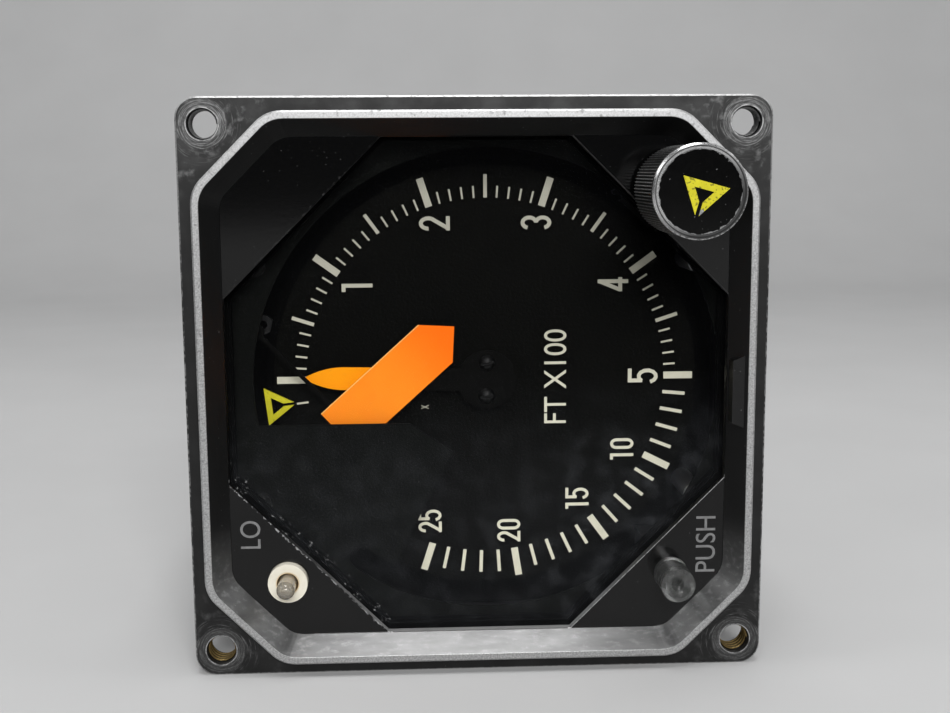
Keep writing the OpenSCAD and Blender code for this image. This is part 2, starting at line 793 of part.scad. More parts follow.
// Domed screw heads that hold the pointer to its hub
module pointer_screws() {
    head_r = 1.25;
    dome = 0.75;
    slot_w = 0.35;
    slot_turn = 12;
    ball_r = (head_r * head_r + dome * dome) / (2 * dome);
    color(dark) for (at = pointer_screws_at) difference() {
        union() {
            intersection() {
                translate([at[0], at[1], pointer_front + dome - ball_r]) sphere(r = ball_r);
                post(at, head_r + eps, pointer_front, pointer_front + dome);
            }
            post(at, fine_r, hub_back, pointer_front + eps);
        }
        translate([at[0], at[1], pointer_front + dome]) rotate([0, 0, slot_turn])
            cube([3 * head_r, slot_w, dome], center = true);
    }
}

module pointer_shaft() {
    color(steel) post(dial_at, shaft_d / 2, back_plate_back, pointer_back);
}

module pointer_gear() {
    boss_wall = 2;
    boss_len = 2.5;
    lighten_ring = gear_m * pointer_teeth * 0.29;
    lighten_r = gear_m * pointer_teeth * 0.1;
    color(brass) difference() {
        union() {
            gear(dial_at, pointer_teeth, shaft_d / 2, gear_front - gear_t, gear_front);
            tube(dial_at, shaft_d / 2, shaft_d / 2 + boss_wall, gear_front - gear_t - boss_len, gear_front);
        }
        for (a = [0 : 60 : 300])
            post(polar(lighten_ring, a), lighten_r, gear_front - gear_t - eps, gear_front + eps);
    }
}

// Bushings that carry the pointer shaft in the two plates
module pointer_bushings() {
    color(brass) for (low = [plate_back_z, back_plate_back])
        tube(dial_at, shaft_d / 2 + run, shaft_d / 2 + bushing_wall, low, low + plate_t);
}

// Index ring: a flange over a row of teeth, running on the front plate's guide
module bug_ring() {
    tooth_front = ring_front - ring_flange_t;
    arm_half = bug_half * 0.5;
    color(aluminium) difference() {
        union() {
            post(dial_at, bug_r_out, tooth_front, ring_front);
            translate([dial_at[0], dial_at[1], 0])
                prism(gear_outline(ring_teeth), ring_back, tooth_front + eps);
            translate([dial_at[0], dial_at[1], 0]) rotate([0, 0, 180 + bug_rest]) intersection() {
                tube([0, 0], dial_r + gap, bug_r_out, ring_front - eps, bug_back);
                translate([0, -arm_half, ring_front - clear])
                    cube([2 * bug_r_out, 2 * arm_half, bug_back - ring_front + 2 * clear]);
            }
        }
        post(dial_at, guide_r + run, ring_back - eps, ring_front + eps);
    }
}

module height_bug() {
    color(yellow) translate([dial_at[0], dial_at[1], 0]) rotate([0, 0, 180 + bug_rest])
        translate([bug_r_in, 0, 0])
            open_triangle(bug_reach + bug_over, bug_half, bug_band, bug_band / 2, bug_back, bug_front);
}

// Clips that keep the index ring on its guide
module ring_clips() {
    color(steel) for (at = clips_at) tube(at, fine_r, clip_r, clip_back, clip_front);
}

module clip_screws() {
    head_r = clip_r * 0.55;
    color(steel) for (at = clips_at)
        slotted_screw(at, head_r, clip_head_h, fine_r, clip_t + clip_bore - clear, clip_front);
}

// Knurled knob under a plain turned head, hollowed for the cap on its front
module knob() {
    head_r = knob_d / 2;
    head_t = 0.9;
    ridge_r = head_r - fit;
    ridge_depth = 0.22;
    skirt_step = 1.2;
    lap = 0.1;
    outline = [for (i = [0 : 2 * knob_ridges - 1]) let (a = 180 / knob_ridges * i)
        (i % 2 == 0 ? ridge_r - ridge_depth : ridge_r) * [cos(a), sin(a)]];
    head = [[0, knob_top - head_t], [head_r, knob_top - head_t], [head_r, knob_top - edge_break],
        [head_r - edge_break, knob_top], [0, knob_top]];
    color(dark) difference() {
        translate([knob_at[0], knob_at[1], 0]) {
            prism(outline, knob_low + skirt_h, knob_top - head_t + lap);
            rotate_extrude() polygon(head);
            translate([0, 0, knob_low]) cylinder(r = head_r - skirt_step, h = skirt_h + lap);
        }
        post(knob_at, cap_r, knob_top - cap_depth, knob_top + eps);
        post(knob_at, knob_shaft_d / 2, knob_low - eps, shaft_top);
        set_screw_hole();
    }
}

// Radial hole for the knob's set screw, on the side away from the dial
module set_screw_hole() {
    translate([knob_at[0], knob_at[1], set_screw_z]) rotate([0, 90, knob_angle])
        cylinder(r = set_screw_r, h = knob_d);
}

module knob_set_screw() {
    start = knob_shaft_d / 2;
    length = knob_d / 2 - start - 0.8;
    socket = 0.8;
    color(steel) translate([knob_at[0], knob_at[1], set_screw_z]) rotate([0, 90, knob_angle])
        translate([0, 0, start]) difference() {
            cylinder(r = set_screw_r, h = length);
            translate([0, 0, length - socket]) cylinder(r = set_screw_r * 0.55, h = 2 * socket, $fn = 6);
        }
}

module knob_cap() {
    color(black) post(knob_at, cap_r, knob_top - cap_depth, knob_top - cap_sink);
}

// Open triangle on the knob's cap, like the index that the knob moves
module knob_mark() {
    size = 0.39 * knob_d;
    apex = knob_d * [-0.0445, -0.276];
    lean = 74.3;
    band = 0.08 * knob_d;
    color(yellow) translate([knob_at[0] + apex[0], knob_at[1] + apex[1], 0]) rotate([0, 0, lean])
        open_triangle(size, size * 0.65, band, band / 2,
            knob_top - cap_sink, knob_top - cap_sink + paint_t);
}

module knob_shaft() {
    color(steel) post(knob_at, knob_shaft_d / 2, plate_back_z - pot_len + pot_wall + clear, shaft_top);
}

module knob_pinion() {
    color(brass) gear(knob_at, knob_teeth, knob_shaft_d / 2, pinion_back, pinion_front,
        mesh_turn(knob_angle, ring_teeth, knob_teeth));
}

// Flanged bushing in the corner panel
module knob_bushing() {
    bush_end = panel_back - 2;
    collar = 0.8;
    color(brass) difference() {
        union() {
            post(knob_at, knob_neck_r, bush_end, panel_front);
            post(knob_at, knob_neck_r + collar, bush_end, panel_back);
        }
        post(knob_at, knob_shaft_d / 2 + run, bush_end - eps, panel_front + eps);
    }
}

// Potentiometer on the back of the front plate, turned by the knob's shaft
module height_pot() {
    color("#3b4a63") difference() {
        union() {
            post(knob_at, pot_r, plate_back_z - pot_len, plate_back_z);
            post(knob_at, knob_neck_r, plate_back_z - eps, plate_front_z);
        }
        post(knob_at, knob_shaft_d / 2 + run, plate_back_z - pot_len + pot_wall, plate_front_z + eps);
    }
}

// Warning flag: a pointed vane on a thin arm from its spindle
module warning_flag() {
    near = flag_far + flag_along * flag_len;
    tip = flag_far + flag_across * flag_w / 2 - flag_along * flag_w / 2;
    vane = [flag_far, near, near + flag_across * flag_w, flag_far + flag_across * flag_w, tip];
    reach = flag_root + flag_across * flag_w / 5;
    arm = reach - flag_pivot;
    side = [-arm[1], arm[0]] / norm(arm) * flag_arm_w / 2;
    color(orange) difference() {
        union() {
            prism(vane, flag_back, flag_front);
            prism([flag_pivot + side, flag_pivot - side, reach - side, reach + side],
                flag_back, flag_front);
            post(flag_pivot, 2 * spindle_r, flag_back, flag_front);
        }
        post(flag_pivot, spindle_r, flag_back - eps, flag_front + eps);
    }
}

module flag_spindle() {
    color(steel) post(flag_pivot, spindle_r, plate_back_z - actuator_len + actuator_wall + pass,
        flag_front + gap);
}

// Moving-coil actuator on the back of the front plate
module flag_actuator() {
    color(steel) difference() {
        union() {
            post(flag_pivot, actuator_r, plate_back_z - actuator_len, plate_back_z);
            post(flag_pivot, spindle_neck_r, plate_back_z - eps, plate_front_z + gap);
        }
        post(flag_pivot, spindle_r + run, plate_back_z - actuator_len + actuator_wall,
            plate_front_z + clear);
    }
}

// Clear push button with a dished front and a collar behind the panel
module test_button() {
    rim = 0.55;
    dish_h = 0.6;
    eye_r = 0.9;
    eye_depth = 2.4;
    stem_r = 1;
    collar = 0.5;
    collar_back = panel_back - button_collar_t;
    color("#c8ccce90") difference() {
        union() {
            post(button_at, button_d / 2, collar_back, button_top);
            post(button_at, button_d / 2 + collar, collar_back - run, panel_back - run);
            post(button_at, stem_r, switch_front + button_travel + run, collar_back);
        }
        translate([button_at[0], button_at[1], button_top - dish_h + eps])
            cylinder(r1 = eye_r, r2 = button_d / 2 - rim, h = dish_h);
        post(button_at, eye_r, button_top - eye_depth, button_top - dish_h + 2 * eps);
    }
}

// Sealed switch that stands on the front plate behind the button
module test_switch() {
    color(dark) prism([for (p = square_at(switch_w)) button_at + p], plate_front_z, switch_front);
}

module lamp_sleeve() {
    color("#e9e6da") tube(lamp_at, bulb_d / 2 + bulb_room, sleeve_d / 2, sleeve_back, sleeve_top);
}

// Bare lamp bulb with a round end
module lamp_bulb() {
    r = bulb_d / 2;
    color("#d9d4c880") {
        post(lamp_at, r, sleeve_back, bulb_top - r);
        translate([lamp_at[0], lamp_at[1], bulb_top - r]) sphere(r = r);
    }
}

// Lamp socket that stands on the front plate
module lamp_holder() {
    color(brass) post(lamp_at, holder_r, plate_front_z, sleeve_back);
}

// Movement plate with the round guide that the index ring turns on
module front_plate() {
    low = plate_back_z - eps;
    high = plate_front_z + eps;
    color(aluminium) difference() {
        union() {
            prism(octagon(plate_w, plate_leg), plate_back_z, plate_front_z);
            tube(dial_at, guide_r - guide_wall, guide_r, plate_front_z - eps, clip_back);
        }
        post(dial_at, shaft_d / 2 + bushing_wall, low, high);
        post(knob_at, knob_neck_r + fit, low, high);
        post(flag_pivot, spindle_neck_r + fit, low, high);
        for (at = bosses_at) post(at, screw_r, low, high);
        for (at = clips_at) post(at, fine_r, clip_back - clip_bore, clip_back + eps);
    }
}

module back_plate() {
    low = back_plate_back - eps;
    high = back_plate_z + eps;
    color(aluminium) difference() {
        prism(octagon(plate_w, plate_leg), back_plate_back, back_plate_z);
        post(dial_at, shaft_d / 2 + bushing_wall, low, high);
        post(motor_at, small_neck_r + fit, low, high);
        post(feedback_at, small_neck_r + fit, low, high);
    }
}

module plate_pillars() {
    color(steel) for (at = pillars_at) post(at, pillar_r, back_plate_z, plate_back_z);
}

module movement_screws() {
    head_r = 1.7;
    head_h = 1.1;
    bite = 6;
    color(steel) for (at = bosses_at) mirror([0, 0, 1])
        slotted_screw(at, head_r, head_h, screw_r, plate_t + bite, -plate_back_z);
}

// Gearhead motor can on the back of the back plate
module servo_motor() {
    can_end = motor_end + motor_cap_t;
    color(steel) difference() {
        union() {
            post(motor_at, motor_r, can_end, back_plate_back);
            post(motor_at, motor_r * 0.85, motor_end, can_end + eps);
            post(motor_at, small_neck_r, back_plate_back - eps, back_plate_z);
        }
        post(motor_at, small_shaft_r + run, back_plate_back - shaft_socket, back_plate_z + eps);
    }
}

// Gear on a plain shaft, both turned as one piece
module shaft_gear(at, teeth, turn) {
    gear_back = gear_front - gear_t - gear_overlap;
    color(brass) {
        translate([at[0], at[1], 0]) rotate([0, 0, turn])
            prism(gear_outline(teeth), gear_back, gear_front + gear_overlap);
        post(at, small_shaft_r, back_plate_back - shaft_reach, gear_back + eps);
    }
}

module motor_pinion() {
    shaft_gear(motor_at, motor_teeth, mesh_turn(motor_angle, pointer_teeth, motor_teeth));
}

// Potentiometer that reads the pointer's place
module feedback_pot() {
    color("#3b4a63") difference() {
        union() {
            post(feedback_at, feedback_r, back_plate_back - feedback_len, back_plate_back);
            post(feedback_at, small_neck_r, back_plate_back - eps, back_plate_z);
        }
        post(feedback_at, small_shaft_r + run, back_plate_back - shaft_socket, back_plate_z + eps);
    }
}

module feedback_gear() {
    shaft_gear(feedback_at, feedback_teeth, mesh_turn(feedback_angle, pointer_teeth, feedback_teeth));
}

module circuit_board(front) {
    color("#1f4f36") prism(octagon(board_w, plate_leg), front - board_t, front);
}

module front_board() {
    circuit_board(front_board_z);
}

module rear_board() {
    circuit_board(rear_board_z);
}

module board_standoffs() {
    color(aluminium) for (at = standoffs_at) {
        post(at, pillar_r, front_board_z, back_plate_back);
        post(at, pillar_r, rear_board_z, front_board_z - board_t);
        difference() {
            post(at, pillar_r, cover_front, rear_board_z - board_t);
            post(at, screw_r, cover_front - eps, cover_front + standoff_bore);
        }
    }
}

// Parts soldered to the back of each board: a row of chips and three cans
module board_parts() {
    chip = [6, 14, 3.4];
    chip_pitch = 0.164 * board_w;
    can_pitch = 0.19 * board_w;
    can_r = 4;
    for (back = [front_board_z - board_t, rear_board_z - board_t]) {
        color(black) for (i = [-1 : 1])
            translate([chip_pitch * i - chip[0] / 2, -chip[1] - pin_pitch, back - chip[2]]) cube(chip);
        color("#39424e") for (i = [-1 : 1]) post([can_pitch * i, can_pitch], can_r, back - can_h, back);
    }
}

module case() {
    color(black) difference() {
        prism(octagon(case_w, case_leg), cover_front, -flange_t);
        prism(octagon(case_in_w, case_in_leg), cover_front - eps, -flange_t + eps);
        for (i = [0 : 3]) case_screw_hole(i);
    }
}

module case_screws() {
    head_r = 1.6;
    head_h = 0.7;
    color(steel) for (i = [0 : 3]) rotate([0, 0, 90 * i]) translate([case_w / 2, 0, case_screw_z])
        rotate([0, 90, 0]) slotted_screw([0, 0], head_r, head_h, screw_r, case_wall + spigot_wall, 0);
}

// Rear cover with a chamfered back edge
module rear_cover() {
    low = cover_back - eps;
    high = cover_front + eps;
    back_chamfer = 1;
    color(black) difference() {
        union() {
            prism(octagon(case_w, case_leg), cover_back + back_chamfer, cover_front);
            taper(octagon(case_w - 2 * back_chamfer, case_leg - back_chamfer * leg_share), cover_back,
                octagon(case_w, case_leg), cover_back + back_chamfer + eps);
        }
        post([0, 0], plug_d / 2 + fit, low, high);
        for (at = standoffs_at) post(at, screw_r, low, high);
        for (at = plug_screws_at) post(at, screw_r, low, high);
    }
}

module cover_screws() {
    head_r = 1.8;
    head_h = 1.2;
    bite = standoff_bore - 2;
    color(steel) for (at = standoffs_at) mirror([0, 0, 1])
        slotted_screw(at, head_r, head_h, screw_r, cover_t + bite, -cover_back);
}

// Square-flanged round connector shell, open behind, with three keys inside its mouth
module connector_shell() {
    bore_r = plug_d / 2 - plug_wall;
    flange_back = cover_back - plug_flange_t;
    key_w = 1.2;
    key_h = 0.6;
    color(steel) {
        difference() {
            union() {
                prism(rounded(square_at(plug_flange_w), plug_screw_inset), flange_back, cover_back);
                post([0, 0], plug_d / 2, plug_back, plug_front);
            }
            post([0, 0], bore_r, plug_back - eps, plug_front + eps);
            for (at = plug_screws_at) post(at, screw_r, flange_back - eps, cover_back + eps);
        }
        for (a = [90, 210, 330]) rotate([0, 0, a])
            translate([bore_r - key_h, -key_w / 2, plug_back + clear])
                cube([key_h + plug_wall / 2, key_w, insert_back - plug_back - 2 * clear]);
    }
}

module connector_insert() {
    color("#2f3d33") difference() {
        post([0, 0], plug_d / 2 - plug_wall, insert_back, insert_front);
        for (at = pins_at) post(at, pin_r, insert_back - eps, insert_front + eps);
    }
}

module connector_pins() {
    color(brass) for (at = pins_at) post(at, pin_r, insert_back - pin_len, plug_front + pass);
}

module connector_screws() {
    head_r = 1.6;
    head_h = 1;
    color(steel) for (at = plug_screws_at) mirror([0, 0, 1])
        slotted_screw(at, head_r, head_h, screw_r, plug_flange_t + cover_t, -cover_back + plug_flange_t);
}

face_on() bezel();
face_on() window_glass();
face_on() window_gasket();
face_on() window_retainer();
face_on() retainer_screws();
face_on() mask_plate();
face_on() mask_posts();
face_on() mask_screws();
face_on() dial();
face_on() dial_markings();
face_on() pointer();
face_on() pointer_hub();
face_on() pointer_screws();
face_on() pointer_shaft();
face_on() pointer_gear();
face_on() pointer_bushings();
face_on() bug_ring();
face_on() height_bug();
face_on() ring_clips();
face_on() clip_screws();
face_on() knob();
face_on() knob_cap();
face_on() knob_mark();
face_on() knob_set_screw();
face_on() knob_shaft();
face_on() knob_pinion();
face_on() knob_bushing();
face_on() height_pot();
face_on() warning_flag();
face_on() flag_spindle();
face_on() flag_actuator();
face_on() test_button();
face_on() test_switch();
face_on() lamp_sleeve();
face_on() lamp_bulb();
face_on() lamp_holder();
face_on() front_plate();
face_on() back_plate();
face_on() plate_pillars();
face_on() movement_screws();
face_on() servo_motor();
face_on() motor_pinion();
face_on() feedback_pot();
face_on() feedback_gear();
face_on() front_board();
face_on() rear_board();
face_on() board_standoffs();
face_on() board_parts();
face_on() case();
face_on() case_screws();
face_on() rear_cover();
face_on() cover_screws();
face_on() connector_shell();
face_on() connector_insert();
face_on() connector_pins();
face_on() connector_screws();
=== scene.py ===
import json
import math

import bpy
from mathutils import Matrix, Vector


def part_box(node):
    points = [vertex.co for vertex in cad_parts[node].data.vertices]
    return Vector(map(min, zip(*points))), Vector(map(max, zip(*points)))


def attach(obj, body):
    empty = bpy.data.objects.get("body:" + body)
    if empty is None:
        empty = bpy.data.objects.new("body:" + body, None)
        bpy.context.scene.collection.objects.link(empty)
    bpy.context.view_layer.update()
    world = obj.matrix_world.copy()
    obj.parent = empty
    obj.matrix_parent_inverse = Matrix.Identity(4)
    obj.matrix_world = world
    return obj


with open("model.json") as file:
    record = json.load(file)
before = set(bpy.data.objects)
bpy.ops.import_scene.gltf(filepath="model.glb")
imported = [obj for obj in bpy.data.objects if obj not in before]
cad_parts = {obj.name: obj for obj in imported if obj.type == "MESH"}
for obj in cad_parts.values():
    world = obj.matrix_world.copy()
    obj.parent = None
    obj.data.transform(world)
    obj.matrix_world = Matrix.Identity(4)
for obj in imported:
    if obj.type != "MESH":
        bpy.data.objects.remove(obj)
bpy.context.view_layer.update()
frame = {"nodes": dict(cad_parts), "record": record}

MM = 0.001
HOUSING = "housing"


def front_of(node):
    """The y of a node's front face, in millimetres. The front looks along -Y."""
    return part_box(node)[0][1] / MM


def centre_of(node):
    """Centre of a node's box, in millimetres."""
    low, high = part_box(node)
    return Vector([(a + b) / 2 / MM for a, b in zip(low, high)])


def radius_of(node):
    """Half of a node's width, in millimetres."""
    low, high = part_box(node)
    return (high[0] - low[0]) / 2 / MM


# Places and sizes in millimetres, read from the frame
SCREWS = frame["record"]["mounts"][0]["dims"]
HOLE_AT = SCREWS["spacing_x_mm"] / 2
HOLE_R = SCREWS["hole_r_mm"]
FLANGE_HALF = radius_of("bezel")
RIM_TOP = front_of("bezel")
PANEL = front_of("knob_bushing")
DIAL = centre_of("dial")
KNOB = centre_of("knob")
KNOB_R = radius_of("knob")
CAP_R = radius_of("knob_cap")
LAMP = centre_of("lamp_sleeve")

# Sizes of the solids that the frame doesn't list. A slant is |x| + |z| on an octagon's slanted sides
FLANGE_R = 3.0
LAND_HALF = 38.2
LAND_SLANT = 66.45
WINDOW_SLANT = 49.1
FLAG_SLOPE = math.radians(42)

# Paint: a point on the flag's upper edge, the root of the pointer's blade, a chip on the knob's mark
FLAG_CORNER = (-8.5, 8.5)
BLADE_ROOT = 10.75
MARK_CHIP = (KNOB[0] + 0.1, KNOB[2] - 2.75)
PAINT_THICK = 0.02


def srgb(red, green, blue):
    """Linear colour of an sRGB colour given as 0 to 255."""
    parts = [c / 255 for c in (red, green, blue)]
    return tuple(c / 12.92 if c < 0.04045 else ((c + 0.055) / 1.055) ** 2.4 for c in parts)


def grey(level):
    """Linear colour of a grey given as 0 to 255."""
    return srgb(level, level, level)


class Shader:
    """A material and its node tree, with short ways to add nodes to it. Lengths are in millimetres."""

    def __init__(self, name, colour, roughness, metallic=0.0, specular=0.5):
        self.material = bpy.data.materials.new(name)
        self.material.use_nodes = True
        self.tree = self.material.node_tree
        self.bsdf = self.tree.nodes["Principled BSDF"]
        self.set("Base Color", (*colour, 1.0))
        self.set("Roughness", roughness)
        self.set("Metallic", metallic)
        self.set("Specular IOR Level", specular)
        place = self.tree.nodes.new("ShaderNodeTexCoord").outputs["Object"]
        self.place = self.vector("MULTIPLY", place, (1 / MM, 1 / MM, 1 / MM))
        split = self.tree.nodes.new("ShaderNodeSeparateXYZ")
        self.link(self.place, split.inputs[0])
        self.x, self.y, self.z = split.outputs

    def link(self, source, target):
        """Joins an output to an input, or sets the input to a plain value."""
        if isinstance(source, bpy.types.NodeSocket):
            self.tree.links.new(source, target)
        else:
            target.default_value = source

    def set(self, name, source):
        """Sets one of the surface's own inputs."""
        self.link(source, self.bsdf.inputs[name])

    def vector(self, operation, a, b):
        """Vector that an operation makes of two."""
        node = self.tree.nodes.new("ShaderNodeVectorMath")
        node.operation = operation
        self.link(a, node.inputs[0])
        self.link(b, node.inputs[1])
        return node.outputs["Vector"]

    def math(self, operation, a, b=0.0):
        """Number that an operation makes of one or two."""
        node = self.tree.nodes.new("ShaderNodeMath")
        node.operation = operation
        self.link(a, node.inputs[0])
        self.link(b, node.inputs[1])
        return node.outputs[0]

    def noise(self, scale, detail=3.0, stretch=(1, 1, 1), place=None):
        """Noise from 0 to 1, with about scale lumps to the millimetre."""
        node = self.tree.nodes.new("ShaderNodeTexNoise")
        self.link(self.vector("MULTIPLY", place or self.place, stretch), node.inputs["Vector"])
        node.inputs["Scale"].default_value = scale
        node.inputs["Detail"].default_value = detail
        return node.outputs[0]

    def step(self, value, low, high):
        """Smooth mask, 0 at low and 1 at high. It falls with value if low is the larger."""
        node = self.tree.nodes.new("ShaderNodeMapRange")
        node.interpolation_type = "SMOOTHSTEP"
        self.link(value, node.inputs["Value"])
        rising = low < high
        node.inputs["From Min"].default_value = min(low, high)
        node.inputs["From Max"].default_value = max(low, high)
        node.inputs["To Min"].default_value = 0.0 if rising else 1.0
        node.inputs["To Max"].default_value = 1.0 if rising else 0.0
        return node.outputs[0]

    def blend(self, share, a, b):
        """Number between a and b by share."""
        node = self.tree.nodes.new("ShaderNodeMix")
        for source, target in ((share, 0), (a, 2), (b, 3)):
            self.link(source, node.inputs[target])
        return node.outputs[0]

    def tint(self, share, a, b):
        """Colour between a and b by share."""
        node = self.tree.nodes.new("ShaderNodeMix")
        node.data_type = "RGBA"
        self.link(share, node.inputs[0])
        for colour, target in ((a, 6), (b, 7)):
            self.link((*colour, 1.0) if isinstance(colour, tuple) else colour, node.inputs[target])
        return node.outputs[2]

    def band(self, value, low, high, soft):
        """Mask that is 1 from low to high, with soft edges outside."""
        return self.both(self.step(value, low - soft, low), self.step(value, high + soft, high))

    def both(self, *masks):
        """Product of several masks or shares."""
        total = masks[0]
        for mask in masks[1:]:
            total = self.math("MULTIPLY", total, mask)
        return total

    def most(self, *masks):
        """Largest of several masks."""
        total = masks[0]
        for mask in masks[1:]:
            total = self.math("MAXIMUM", total, mask)
        return total

    def bump(self, height, depth):
        """Roughens the surface by height, depth millimetres deep."""
        node = self.tree.nodes.new("ShaderNodeBump")
        node.inputs["Distance"].default_value = depth * MM
        self.link(height, node.inputs["Height"])
        self.set("Normal", node.outputs[0])

    def around(self, x, z):
        """Length and direction of the way (x, z)."""
        length = self.math("SQRT", self.math("ADD", self.both(x, x), self.both(z, z)))
        return length, self.math("ARCTAN2", z, x)

    def from_line(self, x, z):
        """Distance of the surface from the line along Y through (x, z), and its direction."""
        return self.around(self.math("SUBTRACT", self.x, x), self.math("SUBTRACT", self.z, z))

    def streaks(self, radius, angle, fine, long):
        """Noise drawn out into arcs: fine lumps to the millimetre outwards, long lumps to the radian."""
        node = self.tree.nodes.new("ShaderNodeCombineXYZ")
        self.link(self.math("MULTIPLY", radius, fine), node.inputs[0])
        self.link(self.math("MULTIPLY", angle, long), node.inputs[1])
        return self.noise(1.0, 4, place=node.outputs[0])


def bezel_material():
    """Black paint over aluminium, bare on the rim's land, worn at the edges and round the screw holes,
    with painted highlights near the top and a painted reflection on the bottom wall of the well.
    """
    s = Shader("bezel_paint", grey(14), 0.3, specular=0.3)
    cloud = s.noise(0.22, 5)
    grain = s.noise(1.6, 4)
    fine = s.noise(8, 2)
    wander = s.both(s.math("SUBTRACT", grain, 0.5), 0.9)
    across = s.math("ABSOLUTE", s.x)
    upright = s.math("ABSOLUTE", s.z)
    slant = s.math("ADD", across, upright)
    # top: the upper part of the bezel. There the flange, its edge, the screw-hole spots and scuffs, and
    # the bare metal are lighter, as painted light from above
    top = s.step(s.z, 12.0, FLANGE_HALF)
    # low: the lower part of the bezel. It carries a painted reflection on the bottom wall of the well,
    # real scrapes there, and a lighter tone low on the corner panels
    low = s.step(s.z, -18.0, -33.0)

    # Painted faces: the flange, the sloping walls of the well and the corner panels. The bottom wall of
    # the well is mottled light grey, brightest in the middle, as a painted reflection of light from
    # above; the corner panels are a shade lighter low down.
    inside = s.both(s.step(s.most(across, upright), LAND_HALF + 0.2, LAND_HALF),
                    s.step(slant, LAND_SLANT + 0.3, LAND_SLANT))
    outside = s.math("SUBTRACT", 1.0, inside)
    on_flange = s.both(outside, s.band(s.y, -0.06, 0.06, 0.04))
    on_panel = s.both(inside, s.band(s.y, PANEL - 0.06, PANEL + 0.03, 0.03))
    on_wall = s.both(inside, s.band(s.y, RIM_TOP + 0.08, PANEL - 0.1, 0.04))
    worn = s.step(cloud, 0.4, 0.7)
    # Flange: real worn patches, and lighter towards the top as painted light from above
    flange = s.tint(worn, s.tint(top, grey(13), grey(34)), s.tint(top, grey(24), grey(60)))
    # Painted reflection: the bottom wall is mottled grey, brightest in the middle and darker towards its
    # ends
    mottle = s.noise(0.7, 4, (0.3, 1, 1))
    middle = s.step(across, 30.0, 8.0)
    bottom = s.tint(middle, s.tint(mottle, grey(78), grey(112)), s.tint(mottle, grey(104), grey(152)))
    well = s.tint(low, grey(9), bottom)
    panel = s.tint(low, grey(6), s.tint(cloud, grey(8), grey(16)))
    paint = s.tint(on_flange, s.tint(on_panel, well, panel), flange)

    # Bare metal on the land, its outer edge and the flange's edge. The flange's edge is brighter along
    # the top than at the sides, a painted highlight over real wear.
    nicks = s.step(s.noise(1.8, 5), 0.56, 0.72)
    rubbed = s.step(s.noise(4.0, 4), 0.3, 0.7)
    land = s.both(s.step(s.y, RIM_TOP + 0.1, RIM_TOP + 0.04), s.blend(nicks, 1.0, 0.6))
    rim_edge = s.both(outside, s.step(s.y, RIM_TOP + 0.3, RIM_TOP + 0.22), s.blend(nicks, 0.9, 0.3))
    over_x = s.math("MAXIMUM", s.math("SUBTRACT", across, FLANGE_HALF - FLANGE_R), 0.0)
    over_z = s.math("MAXIMUM", s.math("SUBTRACT", upright, FLANGE_HALF - FLANGE_R), 0.0)
    from_edge = s.math("SUBTRACT", FLANGE_R, s.around(over_x, over_z)[0])
    chamfer = s.both(s.step(from_edge, 0.27, 0.2), s.step(s.y, 0.5, 0.26))
    # Painted highlight over wear: the chamfer is more bare and bright along the top edge
    top_edge_wear_and_highlight = s.blend(s.step(grain, 0.32, 0.46), 0.5, 1.0)
    rubbed_sides = s.both(s.step(grain, 0.45, 0.6), 0.5)
    flange_edge = s.both(chamfer, s.blend(top, rubbed_sides, top_edge_wear_and_highlight))

    # Screw holes: a turned spot, a bright mouth, arcs scratched by washers, and scuffs across the
    # corners. The spots and scuffs show more bare metal near the top, a painted highlight.
    reach, angle = s.around(s.math("SUBTRACT", across, HOLE_AT), s.math("SUBTRACT", upright, HOLE_AT))
    arcs = s.streaks(reach, angle, 6.0, 1.6)
    spot = s.both(s.step(s.math("ADD", reach, s.both(wander, 0.8)), 3.6, 3.2),
                  s.blend(s.step(arcs, 0.4, 0.7), 0.04, s.blend(top, 0.2, 0.42)))
    mouth = s.both(s.step(reach, HOLE_R + 0.24, HOLE_R + 0.1), s.blend(s.step(arcs, 0.4, 0.55), 0.2, 0.9))
    scratched = s.both(s.step(reach, 6.5, 3.6), s.step(arcs, 0.54, 0.74), 0.28)
    smudged = s.step(s.noise(0.7, 6), 0.5, 0.8)
    scuffed = s.both(s.step(slant, LAND_SLANT + 1.5, LAND_SLANT + 4.0), smudged, s.blend(top, 0.1, 0.36))
    around_hole = s.both(on_flange, s.most(spot, mouth, scratched, scuffed))
    in_hole = s.step(reach, HOLE_R + 0.03, HOLE_R + 0.01)

    # Edges of the lower corner panels at the window: chipped on the left, a thin bright line on the right
    left = s.step(s.x, 2.0, -2.0)
    lip = s.math("SUBTRACT", slant, WINDOW_SLANT)
    ragged = s.math("ADD", lip, s.both(wander, 1.6))
    clusters = s.blend(s.step(s.noise(0.3, 3), 0.42, 0.56), 0.25, 1.0)
    crumbs = s.step(s.noise(2.2, 6), 0.47, 0.56)
    chipped = s.both(left, s.band(ragged, -0.6, 0.12, 0.18), crumbs, clusters)
    line = s.blend(s.step(grain, 0.4, 0.5), 0.4, 0.9)
    lined = s.both(s.math("SUBTRACT", 1.0, left), s.band(lip, -0.3, 0.12, 0.08), line)
    window_edge = s.both(on_panel, s.blend(s.step(s.z, -2.0, -8.0), 0.08, 1.0), s.most(chipped, lined))
    scraped = s.both(on_wall, low, s.step(s.noise(1.4, 6, (0.4, 1, 1)), 0.48, 0.78), 0.3)
    dust = s.both(s.step(s.noise(3.2, 2), 0.74, 0.78), 0.35)

    bare = s.most(land, rim_edge, flange_edge, around_hole, window_edge, in_hole, scraped, dust)
